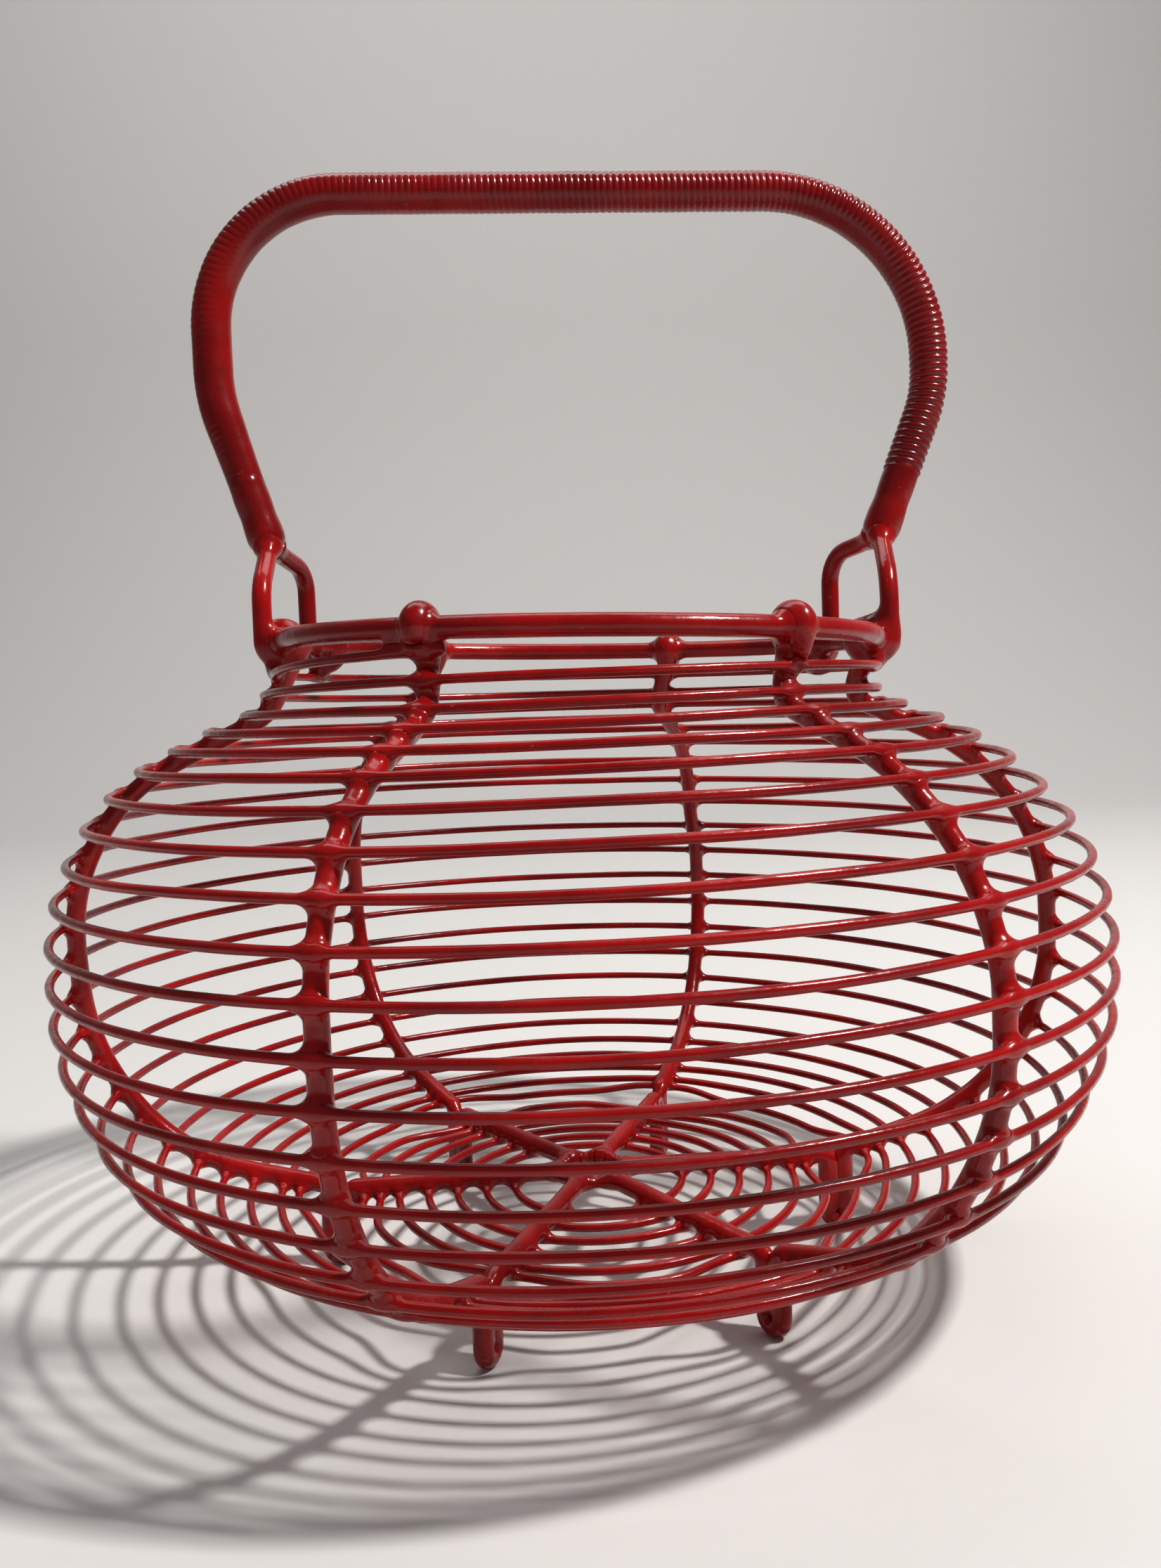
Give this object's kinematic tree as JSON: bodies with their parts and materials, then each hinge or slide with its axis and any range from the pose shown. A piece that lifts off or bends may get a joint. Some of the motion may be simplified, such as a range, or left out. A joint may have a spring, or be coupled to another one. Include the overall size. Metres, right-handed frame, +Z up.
{
  "type": "egg collection basket",
  "caption": "Round-bellied wire basket with a narrow collared mouth, folded wire feet and a coil-wrapped fixed handle, coated in red plastic.",
  "frame": {"origin": "on the floor under the centre of the basket, level with the bottoms of the feet", "axes": "+X from the left to the right end of the handle, +Y towards the back of the basket, +Z up"},
  "size_m": [0.26, 0.26, 0.2806],
  "materials": {
    "coated_wire": "gloss",
    "grip_coating": "gloss"
  },
  "bodies": {
    "root": {"rim_ring": "coated_wire", "hub_ring": "coated_wire", "rib_front_left": "coated_wire", "rib_left": "coated_wire", "rib_back_left": "coated_wire", "rib_back_right": "coated_wire", "rib_right": "coated_wire", "rib_front_right": "coated_wire", "wall_turn_01": "coated_wire", "wall_turn_02": "coated_wire", "wall_turn_03": "coated_wire", "wall_turn_04": "coated_wire", "wall_turn_05": "coated_wire", "wall_turn_06": "coated_wire", "wall_turn_07": "coated_wire", "wall_turn_08": "coated_wire", "wall_turn_09": "coated_wire", "wall_turn_10": "coated_wire", "wall_turn_11": "coated_wire", "wall_turn_12": "coated_wire", "wall_turn_13": "coated_wire", "wall_turn_14": "coated_wire", "wall_turn_15": "coated_wire", "wall_turn_16": "coated_wire", "wall_turn_17": "coated_wire", "wall_turn_18": "coated_wire", "wall_turn_19": "coated_wire", "wall_turn_20": "coated_wire", "wall_turn_21": "coated_wire", "wall_turn_22": "coated_wire", "wall_turn_23": "coated_wire", "wall_turn_24": "coated_wire", "wall_turn_25": "coated_wire", "wall_turn_26": "coated_wire", "wall_turn_27": "coated_wire", "wall_turn_28": "coated_wire", "wall_turn_29": "coated_wire", "handle_wire_front": "coated_wire", "handle_wire_rear": "coated_wire", "grip_wrap": "grip_coating", "sleeve_left": "grip_coating", "sleeve_right": "grip_coating"}
  },
  "joints": []
}
